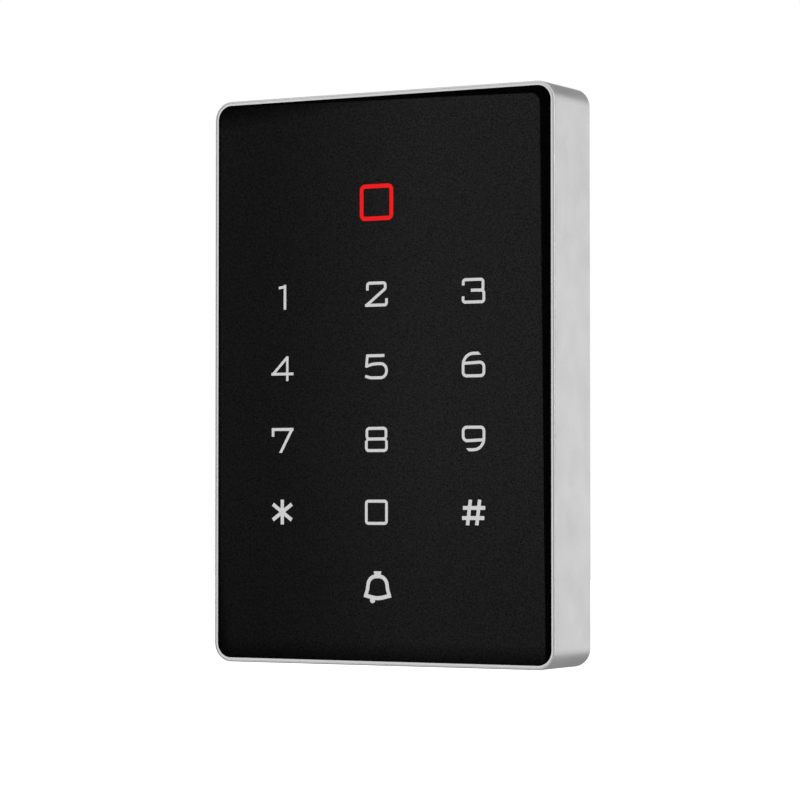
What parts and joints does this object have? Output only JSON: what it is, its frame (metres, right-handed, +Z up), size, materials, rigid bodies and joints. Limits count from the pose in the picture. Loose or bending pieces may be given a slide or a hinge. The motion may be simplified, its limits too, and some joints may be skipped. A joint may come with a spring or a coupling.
{
  "type": "keypad access reader",
  "caption": "Slim wall-hung touch keypad and card reader: black front panel with light legends in a satin metal frame, on a hooked steel wall plate.",
  "frame": {"origin": "centre of the wall plate's back face, on the wall", "axes": "+Z up, -Y out of the wall towards the person using the keypad, +X to the right as seen by that person"},
  "size_m": [0.0814, 0.0168, 0.12],
  "materials": {
    "satin_silver": "satin, finely brushed",
    "panel_black": "glossy over a fine grain",
    "legend_light": "translucent white window",
    "status_red": "lit red window",
    "plate_steel": "rolled stainless sheet",
    "dark_steel": "black oxide",
    "screw_steel": "zinc plated",
    "foam_black": "closed-cell foam",
    "seal_rubber": "moulded rubber",
    "diffuser_white": "milky sheet",
    "led_white": "moulded lens",
    "led_red": "moulded lens",
    "board_green": "solder mask",
    "coil_copper": "enamelled copper winding",
    "chip_black": "moulded epoxy",
    "tin_can": "drawn can",
    "buzzer_black": "moulded",
    "relay_cream": "moulded",
    "small_tan": "fired ceramic",
    "header_ivory": "moulded nylon",
    "pin_brass": "gold flashed",
    "cover_black": "spark-textured moulding",
    "switch_grey": "moulded",
    "switch_white": "moulded acetal"
  },
  "bodies": {
    "wall_mount": {"wall_plate": "plate_steel"},
    "reader": {"metal_frame": "satin_silver", "front_panel": "panel_black", "key_legends": "legend_light", "bell_legend": "legend_light", "status_ring": "status_red", "panel_tape": "foam_black", "diffuser_sheet": "diffuser_white", "light_mask": "foam_black", "key_leds": "led_white", "status_leds": "led_red", "circuit_board": "board_green", "aerial_coil": "coil_copper", "controller_chip": "chip_black", "touch_chip": "chip_black", "radio_chip": "chip_black", "crystal": "tin_can", "buzzer": "buzzer_black", "relay": "relay_cream", "capacitors": "tin_can", "small_parts": "small_tan", "header_shell": "header_ivory", "header_pins": "pin_brass", "board_screws": "screw_steel", "back_cover": "cover_black", "edge_seal": "seal_rubber", "cover_screws": "screw_steel", "cable_grommet": "seal_rubber", "tamper_body": "switch_grey", "tamper_spring": "screw_steel"},
    "lock": {"lock_screw": "dark_steel"},
    "tamper": {"tamper_plunger": "switch_white"}
  },
  "joints": [
    {"name": "reader_tilt", "type": "hinge", "parent": "wall_mount", "child": "reader", "pos_m": [0, 0, 0.06], "axis": [-1, 0, 0], "range_deg": [0, 12]},
    {"name": "lock_travel", "type": "slide", "parent": "reader", "child": "lock", "axis": [0, 0, 1], "range_m": [0, 0.0024]},
    {"name": "tamper_travel", "type": "slide", "parent": "reader", "child": "tamper", "axis": [0, 1, 0], "range_m": [0, 0.0019], "deforming": ["tamper_spring"]}
  ],
  "couplings": [
    {"joint": "tamper_travel", "follows": "reader_tilt", "m_per_rad": 0.009}
  ]
}
